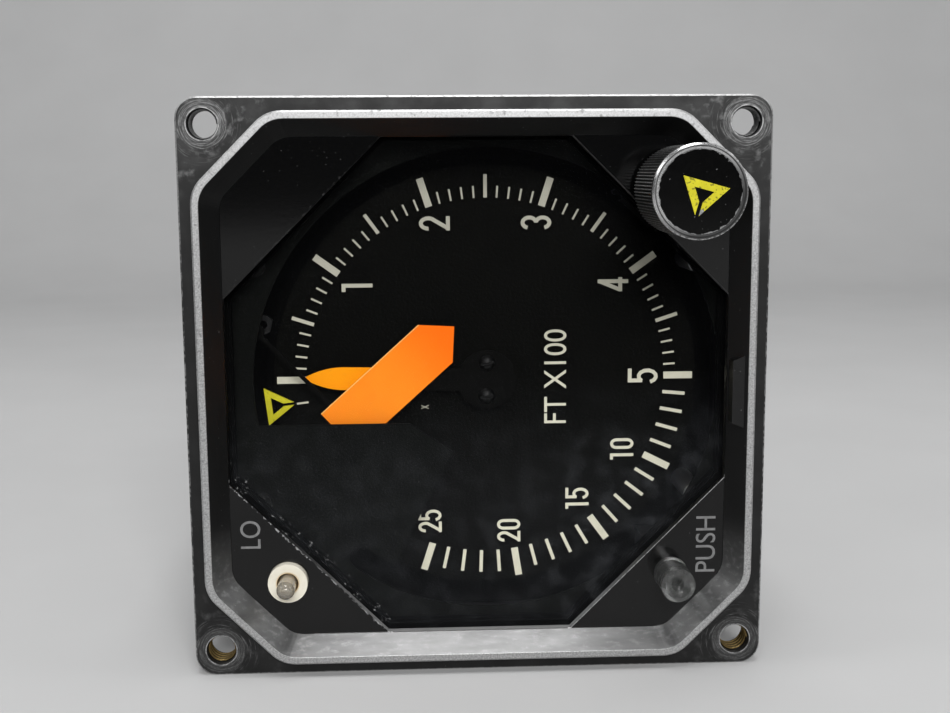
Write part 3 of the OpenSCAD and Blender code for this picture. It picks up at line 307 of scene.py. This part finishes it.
    # Bare metal colour, lighter near the top as a painted highlight
    bare_metal_with_top_highlight = s.tint(s.both(top, 0.4), s.tint(rubbed, grey(150), grey(192)), grey(214))
    s.set("Base Color", s.tint(bare, paint, s.tint(in_hole, bare_metal_with_top_highlight, s.tint(fine, grey(52), grey(98)))))
    s.set("Metallic", s.most(s.both(bare, 0.85), s.both(on_wall, low, 0.5)))
    gloss = s.blend(low, 0.1, 0.18)
    satin = s.blend(on_flange, s.blend(on_panel, s.blend(grain, 0.34, 0.46), gloss), 0.44)
    s.set("Roughness", s.blend(bare, satin, s.blend(fine, 0.36, 0.5)))
    smooth = s.most(on_panel, s.both(s.most(land, rim_edge), 0.9))
    height = s.math("ADD", s.both(grain, 0.5), s.both(fine, 0.2))
    s.bump(s.both(height, s.blend(smooth, 1.0, 0.15)), 0.03)
    return s.material


def case_material():
    """Fine crinkle paint with rubbed corners."""
    s = Shader("case_paint", grey(20), 0.55)
    crinkle = s.noise(3.0, 3)
    rub = s.noise(0.5, 6)
    across = s.math("ABSOLUTE", s.x)
    upright = s.math("ABSOLUTE", s.z)
    half = radius_of("case")
    corner = 2 * half - 11.0
    flat = s.step(s.math("MAXIMUM", across, upright), half - 0.3, half - 0.05)
    slant = s.step(s.math("ADD", across, upright), corner - 0.6, corner)
    bare = s.both(flat, slant, s.step(rub, 0.56, 0.66), 0.6)
    s.set("Base Color", s.tint(bare, s.tint(rub, grey(19), grey(34)), grey(170)))
    s.set("Metallic", s.blend(bare, 0.0, 0.8))
    s.set("Roughness", s.blend(crinkle, 0.5, 0.66))
    s.bump(crinkle, 0.12)
    return s.material


def plain_material(name, dark, light, roughness, specular=0.5, scale=1.2, depth=0.03):
    """Moulded or painted surface with a slight change of shade and a fine grain."""
    s = Shader(name, dark, roughness, specular=specular)
    grain = s.noise(scale * 8, 2)
    s.set("Base Color", s.tint(s.noise(scale, 4), dark, light))
    s.set("Roughness", s.blend(grain, roughness * 0.9, min(1.0, roughness * 1.1)))
    s.bump(grain, depth)
    return s.material


def metal_material(name, dark, light, roughness, stretch=(1, 1, 1)):
    """Turned or brushed metal, with its grain drawn out along one direction."""
    s = Shader(name, dark, roughness, metallic=1.0)
    grain = s.noise(2.5, 4, stretch)
    s.set("Base Color", s.tint(s.blend(s.noise(0.35, 3), grain, 0.6), dark, light))
    s.set("Roughness", s.blend(grain, roughness * 0.8, roughness * 1.2))
    s.bump(grain, 0.02)
    return s.material


def glass_material():
    """Clear window with dust and grime at its edge low on the left, a faint smear low on the right and a
    veil that thickens towards the bottom; the veil, and the smear in part, are a painted reflection of
    the floor.
    """
    haze = srgb(130, 133, 138)
    s = Shader("window", haze, 0.3, specular=0.1)
    right = s.step(s.x, 4.0, 22.0)
    left = s.step(s.x, 2.0, -16.0)
    low = s.step(s.z, 4.0, -20.0)
    # Smear low down, stronger on the right: real smudges, and in part a painted reflection of the floor
    smear = s.both(s.step(s.noise(0.32, 6), 0.46, 0.7), low, s.blend(right, 0.02, 0.05))
    dust = s.both(s.step(s.noise(2.6, 2), 0.76, 0.8), s.blend(s.both(low, left), 0.06, 0.6))
    slant = s.math("ADD", s.math("ABSOLUTE", s.x), s.math("ABSOLUTE", s.z))
    edge = s.both(s.band(slant, WINDOW_SLANT - 1.8, WINDOW_SLANT, 0.4), left, low)
    grime = s.both(edge, s.step(s.noise(0.5, 3), 0.46, 0.6), s.step(s.noise(2.6, 6), 0.6, 0.68), 0.6)
    dirt = s.most(dust, grime)
    s.set("Base Color", s.tint(s.step(dirt, 0.0, 0.2), haze, grey(176)))
    # Alpha: smear and dirt over a veil that rises towards the bottom, a painted reflection of the floor
    s.set("Alpha", s.math("ADD", s.math("ADD", smear, dirt), s.blend(low, 0.003, 0.015)))
    return s.material


def clear_material(name, clean, hazy, roughness, clearness):
    """Solid clear moulding with a little haze. What clearness leaves of 1 is milky."""
    s = Shader(name, clean, roughness)
    haze = s.noise(1.2, 4)
    s.set("Transmission Weight", clearness)
    s.set("IOR", 1.47)
    s.set("Base Color", s.tint(haze, clean, hazy))
    s.set("Roughness", s.blend(haze, roughness * 0.5, roughness * 1.5))
    return s.material


def orange_paint(name, inward, deep, pale, edge_share):
    """Fluorescent paint with a painted highlight along its edge, dull black outside. inward gives the way
    in from the edge.
    """
    s = Shader(name, pale, 0.7, specular=0.03)
    lit, black = srgb(255, 214, 130), srgb(7, 7, 6)
    paint = s.tint(s.step(s.math("ADD", s.x, s.z), -14.0, 4.0), pale, deep)
    uneven = s.tint(s.both(s.noise(0.5, 3), 0.3), paint, deep)
    way = inward(s)
    # Painted highlight: a paler line along the edge, as strong as edge_share
    edged = s.tint(s.both(s.step(way, 0.2, 0.06), edge_share), uneven, lit)
    s.set("Base Color", s.tint(s.step(way, -0.08, -0.02), black, edged))
    s.bump(s.noise(10, 2), 0.01)
    return s.material


def pointer_blade(s):
    """Way out along the pointer from the root of its blade."""
    return s.math("SUBTRACT", s.from_line(DIAL[0], DIAL[2])[0], BLADE_ROOT)


def flag_vane(s):
    """Way in from the upper edge of the flag's vane."""
    x = s.math("MULTIPLY", s.math("SUBTRACT", s.x, FLAG_CORNER[0]), math.sin(FLAG_SLOPE))
    z = s.math("MULTIPLY", s.math("SUBTRACT", s.z, FLAG_CORNER[1]), -math.cos(FLAG_SLOPE))
    return s.math("ADD", x, z)


def yellow_paint(name, speckle, chip_at=None):
    """Matte yellow with dark specks and, where chip_at is given, a chip down to the metal."""
    s = Shader(name, srgb(222, 204, 36), 0.5, specular=0.3)
    specks = s.step(s.noise(2.4, 3), 0.66 - speckle, 0.7 - speckle)
    cloud = s.noise(0.8, 3)
    paint = s.tint(cloud, srgb(184, 174, 12), srgb(216, 209, 34))
    paint = s.tint(s.both(specks, 0.75), paint, srgb(84, 80, 12))
    if chip_at:
        wander = s.both(s.math("SUBTRACT", s.noise(2.0, 4), 0.5), 0.8)
        chip = s.step(s.math("ADD", s.from_line(*chip_at)[0], wander), 0.5, 0.4)
        paint = s.tint(chip, paint, s.tint(s.noise(4, 3), grey(20), grey(190)))
    s.set("Base Color", paint)
    s.bump(cloud, 0.02)
    return s.material


def ink_material():
    """Scale paint with faint blotches, greyer towards the top of the dial as painted shade from the
    bezel's upper wall.
    """
    s = Shader("scale_paint", srgb(206, 201, 176), 0.6, specular=0.2)
    # Painted shade: the scale greys towards the top of the dial, shaded by the bezel's upper wall
    base_tone = s.tint(s.step(s.z, -25.0, 28.0), srgb(240, 237, 214), srgb(174, 172, 158))
    s.set("Base Color", s.tint(s.both(s.noise(0.9, 3), 0.25), base_tone, srgb(120, 116, 100)))
    return s.material


def knob_material():
    """Black knurl with rubbed ridges under a turned head that is worn to two bright rings. The head's
    ring carries a painted highlight: bright on the upper left, nearly black to the lower right.
    """
    s = Shader("knob_metal", grey(24), 0.38, specular=0.3)
    radius, angle = s.from_line(KNOB[0], KNOB[2])
    fine = s.noise(3.5, 4)
    head = s.step(s.y, front_of("knob") + 0.9, front_of("knob") + 0.84)
    rubbed = s.step(s.streaks(radius, angle, 3.0, 2.4), 0.3, 0.5)
    groove = s.band(radius, KNOB_R - 0.46, KNOB_R - 0.32, 0.05)
    side = s.math("SUBTRACT", s.math("SUBTRACT", s.z, KNOB[2]), s.math("SUBTRACT", s.x, KNOB[0]))
    # Painted highlight: the head's bright ring fades from the upper left to the lower right
    upper_left_highlight = s.blend(s.step(side, -KNOB_R, KNOB_R), 0.06, 1.0)
    ring = s.both(head, upper_left_highlight, s.blend(rubbed, 0.35, 1.0), s.blend(groove, 1.0, 0.08))
    ridge = s.both(s.step(radius, KNOB_R - 0.2, KNOB_R - 0.12), s.step(fine, 0.36, 0.58), 0.75)
    bare = s.most(ring, ridge)
    s.set("Base Color", s.tint(bare, grey(11), s.tint(fine, grey(168), grey(232))))
    s.set("Metallic", s.blend(bare, 0.0, 0.95))
    s.set("Roughness", s.blend(bare, 0.4, 0.24))
    s.bump(fine, 0.02)
    return s.material


def cap_material():
    """Black lacquer with small bright chips along its edge and a little dust."""
    s = Shader("cap_lacquer", grey(5), 0.14, specular=0.18)
    radius = s.from_line(KNOB[0], KNOB[2])[0]
    ragged = s.math("ADD", radius, s.both(s.math("SUBTRACT", s.noise(1.6, 4), 0.5), 0.7))
    chip = s.step(ragged, CAP_R - 0.1, CAP_R - 0.02)
    speck = s.both(s.step(s.noise(2.2, 3), 0.72, 0.76), 0.35)
    bare = s.most(chip, speck)
    s.set("Base Color", s.tint(bare, grey(4), grey(170)))
    s.set("Metallic", s.blend(bare, 0.0, 0.7))
    s.set("Roughness", s.blend(s.noise(0.8, 3), 0.12, 0.2))
    return s.material


def sleeve_material():
    """Aged white plastic, brown inside its bore."""
    s = Shader("lamp_white", srgb(232, 228, 210), 0.45)
    bore_edge, bore_deep = 1.85, 1.5
    inside = s.step(s.from_line(LAMP[0], LAMP[2])[0], bore_edge, bore_deep)
    base_tone = s.tint(s.noise(0.7, 4), srgb(212, 206, 188), srgb(236, 232, 218))
    # The bore is brown and darker, set by distance from the lamp's axis
    brown_bore = s.tint(s.noise(1.5, 3), srgb(168, 138, 90), srgb(214, 190, 146))
    s.set("Base Color", s.tint(inside, base_tone, brown_bore))
    s.bump(s.noise(6, 2), 0.02)
    return s.material


def thread_material():
    """Dull thread inserts, dark in the roots, grey in the upper holes and yellowed in the lower ones."""
    s = Shader("thread_metal", grey(90), 0.42, metallic=0.8)
    across = s.math("SUBTRACT", s.math("ABSOLUTE", s.x), HOLE_AT)
    upright = s.math("SUBTRACT", s.math("ABSOLUTE", s.z), HOLE_AT)
    crest = s.step(s.around(across, upright)[0], HOLE_R - 0.08, HOLE_R - 0.24)
    low = s.step(s.z, 2.0, -2.0)
    fine = s.noise(3, 4)
    clean = s.tint(fine, grey(120), grey(170))
    yellowed = s.tint(fine, srgb(116, 96, 60), srgb(170, 146, 92))
    s.set("Base Color", s.tint(crest, grey(20), s.tint(low, clean, yellowed)))
    s.bump(fine, 0.02)
    return s.material


def board_material():
    """Lacquered board with tracks under the lacquer."""
    s = Shader("board_lacquer", srgb(26, 84, 52), 0.35)
    node = s.tree.nodes.new("ShaderNodeTexBrick")
    s.link(s.place, node.inputs["Vector"])
    node.inputs["Scale"].default_value = 0.35
    tracks = node.outputs["Fac"]
    s.set("Base Color", s.tint(tracks, srgb(24, 78, 48), srgb(58, 122, 66)))
    s.bump(tracks, 0.03)
    return s.material


STEEL = metal_material("steel", grey(120), grey(186), 0.34)
DARK_STEEL = metal_material("blackened_steel", grey(18), grey(44), 0.5)
ALUMINIUM = metal_material("aluminium", grey(150), grey(206), 0.36, (1, 6, 1))
BRASS = metal_material("brass", srgb(150, 118, 56), srgb(206, 172, 96), 0.32)
INK = ink_material()
MOULDING = plain_material("black_moulding", grey(14), grey(26), 0.5)
POT = plain_material("pot_body", srgb(40, 54, 82), srgb(58, 74, 104), 0.5)
CASE = case_material()
BOARD = board_material()
DIAL_BLACK = plain_material("dial_black", srgb(6, 6, 5), srgb(10, 10, 8), 0.9, 0.03, 0.3)
DULL_BLACK = plain_material("dull_black", grey(3), grey(6), 0.9, 0.02, 0.4)

MATERIALS = {
    "bezel": bezel_material(),
    "window_glass": glass_material(),
    "window_gasket": plain_material("gasket", grey(4), grey(8), 0.9, 0.04),
    "window_retainer": DULL_BLACK,
    "mask_screws": plain_material("screw_black", grey(8), grey(20), 0.6, 0.15, 3.0),
    "mask_plate": plain_material("mask_black", srgb(8, 9, 8), srgb(13, 14, 12), 0.85, 0.04, 0.4),
    "dial_markings": INK,
    "bug_ring": DULL_BLACK,
    "pointer": orange_paint("pointer_orange", pointer_blade, srgb(255, 138, 14), srgb(255, 160, 18), 0.0),
    "warning_flag": orange_paint("flag_orange", flag_vane, srgb(255, 112, 18), srgb(255, 146, 36), 0.6),
    "height_bug": yellow_paint("index_yellow", 0.0),
    "knob": knob_material(),
    "knob_cap": cap_material(),
    "knob_mark": yellow_paint("mark_yellow", 0.09, MARK_CHIP),
    "test_button": clear_material("button_clear", srgb(232, 234, 232), srgb(190, 192, 190), 0.1, 0.95),
    "lamp_sleeve": sleeve_material(),
    "lamp_bulb": clear_material("bulb_clear", srgb(255, 250, 238), srgb(246, 232, 204), 0.02, 0.8),
    "case": CASE,
    "rear_cover": CASE,
    "height_pot": POT,
    "feedback_pot": POT,
    "test_switch": MOULDING,
    "flag_actuator": MOULDING,
    "front_board": BOARD,
    "rear_board": BOARD,
    "board_parts": plain_material("board_parts", srgb(28, 29, 31), srgb(46, 48, 52), 0.4),
    "connector_insert": plain_material("insert_plastic", srgb(34, 52, 40), srgb(46, 66, 52), 0.6),
}
SHARED = {
    DULL_BLACK: ("front_plate", "knob_bushing", "flag_spindle"),
    DIAL_BLACK: ("dial", "pointer_hub"),
    DARK_STEEL: ("pointer_screws", "knob_pinion", "ring_clips", "clip_screws"),
    ALUMINIUM: ("mask_posts", "back_plate", "board_standoffs", "connector_shell"),
    BRASS: ("pointer_gear", "pointer_bushings", "lamp_holder", "motor_pinion", "feedback_gear",
            "connector_pins"),
}
for material, nodes in SHARED.items():
    for node in nodes:
        MATERIALS[node] = material

for node, obj in frame["nodes"].items():
    if not obj.material_slots:
        obj.data.materials.append(None)
    for slot in obj.material_slots:
        slot.link = "OBJECT"
        slot.material = MATERIALS.get(node, STEEL)


def add_piece(name, mesh, material, body=HOUSING):
    """Puts a mesh in the scene as a piece that rides on a body."""
    mesh.materials.clear()
    mesh.materials.append(material)
    obj = bpy.data.objects.new(name, mesh)
    bpy.context.scene.collection.objects.link(obj)
    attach(obj, body)
    return obj


def mesh_of(name, points, faces, smooth=True):
    """Mesh from points in millimetres."""
    mesh = bpy.data.meshes.new(name)
    mesh.from_pydata([Vector(p) * MM for p in points], [], faces)
    for face in mesh.polygons:
        face.use_smooth = smooth
    return mesh


def lettering(name, text, height, width, centre, level, material, bolder=0.0):
    """Word painted on a face that looks along -Y, reading up it, fitted to a height and a width.

    bolder widens its strokes.
    """
    curve = bpy.data.curves.new(name, "FONT")
    curve.body = text
    curve.extrude = PAINT_THICK * MM
    curve.offset = bolder
    curve.resolution_u = 6
    flat = bpy.data.objects.new(name + "_outline", curve)
    bpy.context.scene.collection.objects.link(flat)
    bpy.context.view_layer.update()
    mesh = bpy.data.meshes.new_from_object(flat.evaluated_get(bpy.context.evaluated_depsgraph_get()))
    bpy.data.objects.remove(flat)
    low = [min(v.co[i] for v in mesh.vertices) for i in range(2)]
    high = [max(v.co[i] for v in mesh.vertices) for i in range(2)]
    middle = Vector(((low[0] + high[0]) / 2, (low[1] + high[1]) / 2, 0))
    fit = Matrix.Diagonal((width * MM / (high[0] - low[0]), height * MM / (high[1] - low[1]), 1, 1))
    stand = Matrix.Rotation(math.radians(90), 4, "X") @ Matrix.Rotation(math.radians(90), 4, "Z")
    goal = Matrix.Translation(Vector((centre[0], level - PAINT_THICK, centre[1])) * MM)
    mesh.transform(goal @ stand @ fit @ Matrix.Translation(-middle))
    return add_piece(name, mesh, material)


def sweep(path, radius, sides=8):
    """Points and faces of a round wire along a path."""
    points = []
    for i, here in enumerate(path):
        ahead = Vector(path[min(i + 1, len(path) - 1)]) - Vector(path[max(i - 1, 0)])
        if i == 0:
            side = ahead.orthogonal()
        side = (side - side.project(ahead)).normalized()
        other = ahead.normalized().cross(side)
        for k in range(sides):
            a = 2 * math.pi * k / sides
            points.append(Vector(here) + (side * math.cos(a) + other * math.sin(a)) * radius)
    faces = []
    for i in range(len(path) - 1):
        for k in range(sides):
            j = (k + 1) % sides
            faces.append((i * sides + k, i * sides + j, (i + 1) * sides + j, (i + 1) * sides + k))
    faces.append(tuple(reversed(range(sides))))
    faces.append(tuple(range((len(path) - 1) * sides, len(path) * sides)))
    return points, faces


def gather(parts):
    """One list of points and faces from several."""
    points, faces = [], []
    for more_points, more_faces in parts:
        faces += [tuple(i + len(points) for i in face) for face in more_faces]
        points += more_points
    return points, faces


def panel_threads():
    """Thread ridges inside the four panel screw holes."""
    pitch, depth, per_turn = 0.794, 0.28, 24
    start, end = 0.35, 4.3
    root, crest = HOLE_R - 0.005, HOLE_R - depth
    root_half, crest_half = 0.4, 0.06
    profile = ((root, -root_half), (crest, -crest_half), (crest, crest_half), (root, root_half))
    steps = int((end - start - pitch) / pitch * per_turn)
    parts = []
    for x in (-HOLE_AT, HOLE_AT):
        for z in (-HOLE_AT, HOLE_AT):
            points = []
            for i in range(steps + 1):
                a = 2 * math.pi * i / per_turn
                y = start + pitch / 2 + pitch * i / per_turn
                for r, rise in profile:
                    points.append((x + r * math.cos(a), y + rise * pitch, z + r * math.sin(a)))
            faces = [(4 * i + k, 4 * i + (k + 1) % 4, 4 * i + 4 + (k + 1) % 4, 4 * i + 4 + k)
                     for i in range(steps) for k in range(4)]
            faces += [(3, 2, 1, 0), tuple(4 * steps + k for k in range(4))]
            parts.append((points, faces))
    points, faces = gather(parts)
    add_piece("panel_threads", mesh_of("panel_threads", points, faces, False), thread_material())


def lamp_filament():
    """Two support wires and a coiled filament inside the bulb."""
    x, z = LAMP[0], LAMP[2]
    foot, tip = LAMP[1] - 1.0, front_of("lamp_bulb") + 1.3
    apart, half, bend = 0.35, 0.6, 0.6
    wire_r, coil_r, strand_r, strand_sides = 0.07, 0.11, 0.03, 6
    turns, per_turn = 7, 10
    wires = []
    for side in (-1, 1):
        path = [(x + side * apart, foot, z), (x + side * apart, tip + bend, z), (x + side * half, tip, z)]
        wires.append(sweep(path, wire_r))
    coil = []
    for i in range(turns * per_turn + 1):
        a = 2 * math.pi * i / per_turn
        along = x - half + 2 * half * i / (turns * per_turn)
        coil.append((along, tip + coil_r * math.cos(a), z + coil_r * math.sin(a)))
    points, faces = gather(wires + [sweep(coil, strand_r, strand_sides)])
    add_piece("lamp_filament", mesh_of("lamp_filament", points, faces), STEEL)


LABEL = plain_material("label_paint", grey(96), grey(140), 0.6, 0.2)
lettering("dial_word", "FT X100", 3.4, 14.4, (12.2, 0.0), front_of("dial"), INK)
lettering("dial_cross", "x", 1.15, 0.6, (-7.6, -4.4), front_of("dial"), INK, -0.02)
lettering("lamp_word", "LO", 2.9, 4.1, (-33.0, -20.7), PANEL, LABEL)
lettering("button_word", "PUSH", 2.9, 8.4, (33.2, -23.4), PANEL, LABEL)
panel_threads()
lamp_filament()


def stage():
    """Pale floor that rises in a curve behind the object. Lengths are in metres."""
    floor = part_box("bezel")[0][2]
    back, bend, high, near, half = 0.55, 0.35, 1.6, -4.0, 4.0
    steps = 12
    turns = [math.radians(90 * i / steps) for i in range(steps + 1)]
    profile = [(near, 0.0)] + [(back + bend * math.sin(a), bend - bend * math.cos(a)) for a in turns]
    profile.append((back + bend, high))
    points = [(x / MM, y / MM, (z + floor) / MM) for y, z in profile for x in (-half, half)]
    faces = [(2 * i, 2 * i + 1, 2 * i + 3, 2 * i + 2) for i in range(len(profile) - 1)]
    mesh = mesh_of("studio_floor", points, faces)
    s = Shader("studio_floor", grey(190), 0.9, specular=0.1)
    s.set("Base Color", s.tint(s.noise(0.02, 3), grey(186), grey(194)))
    mesh.materials.append(s.material)
    obj = bpy.data.objects.new("studio_floor", mesh)
    bpy.context.scene.collection.objects.link(obj)


# Name, place, point it looks at and size, in metres, and power in watts
LAMPS = (
    ("overhead", (0.0, -0.13, 0.6), (0.0, -0.13, 0.0), (0.2, 0.3), 2.0),
    ("right_side", (0.53, -0.06, 0.38), (0.0, 0.0, 0.0), (0.25, 0.25), 0.6),
    ("left_side", (-0.5, -0.1, 0.42), (0.0, 0.0, 0.0), (0.25, 0.25), 0.6),
    ("front_key", (0.1, -1.35, 0.72), (0.0, 0.0, 0.0), (0.7, 0.5), 19.0),
    ("backdrop", (0.0, 0.35, 1.3), (0.0, 0.9, 0.9), (1.6, 0.5), 6.0),
)
ROOM_COLOUR = (0.9, 0.94, 1.0, 1.0)
ROOM_LEVEL = 0.06


def area_light(name, place, target, size, power):
    """Rectangular lamp that looks at a point."""
    light = bpy.data.lights.new(name, "AREA")
    light.shape = "RECTANGLE"
    light.size, light.size_y = size
    light.energy = power
    obj = bpy.data.objects.new(name, light)
    obj.location = place
    obj.rotation_euler = (Vector(target) - Vector(place)).to_track_quat("-Z", "Y").to_euler()
    bpy.context.scene.collection.objects.link(obj)


def lights():
    """The lamps, in a dim room."""
    for lamp in LAMPS:
        area_light(*lamp)
    world = bpy.data.worlds.new("studio")
    bpy.context.scene.world = world
    world.use_nodes = True
    background = world.node_tree.nodes["Background"]
    background.inputs["Color"].default_value = ROOM_COLOUR
    background.inputs["Strength"].default_value = ROOM_LEVEL


def camera():
    """Camera at the photograph's place: millimetres, and pixels of a picture 950 wide."""
    place = Vector((-8.2746, -175.6483, 31.0911)) * MM
    back = -Vector((0.04380, 0.98822, -0.14665)).normalized()
    up = Vector((0.01330, 0.14620, 0.98917))
    focal_px, picture_w = 1258.0, 950
    lens = bpy.data.cameras.new("camera")
    lens.sensor_fit = "HORIZONTAL"
    lens.sensor_width = 36.0
    lens.lens = focal_px / picture_w * lens.sensor_width
    lens.clip_start = 0.005
    right = up.cross(back).normalized()
    turn = Matrix((right, back.cross(right), back)).transposed()
    obj = bpy.data.objects.new("camera", lens)
    obj.matrix_world = Matrix.Translation(place) @ turn.to_4x4()
    bpy.context.scene.collection.objects.link(obj)
    bpy.context.scene.camera = obj


stage()
lights()
camera()
bpy.context.scene.view_settings.view_transform = "Standard"
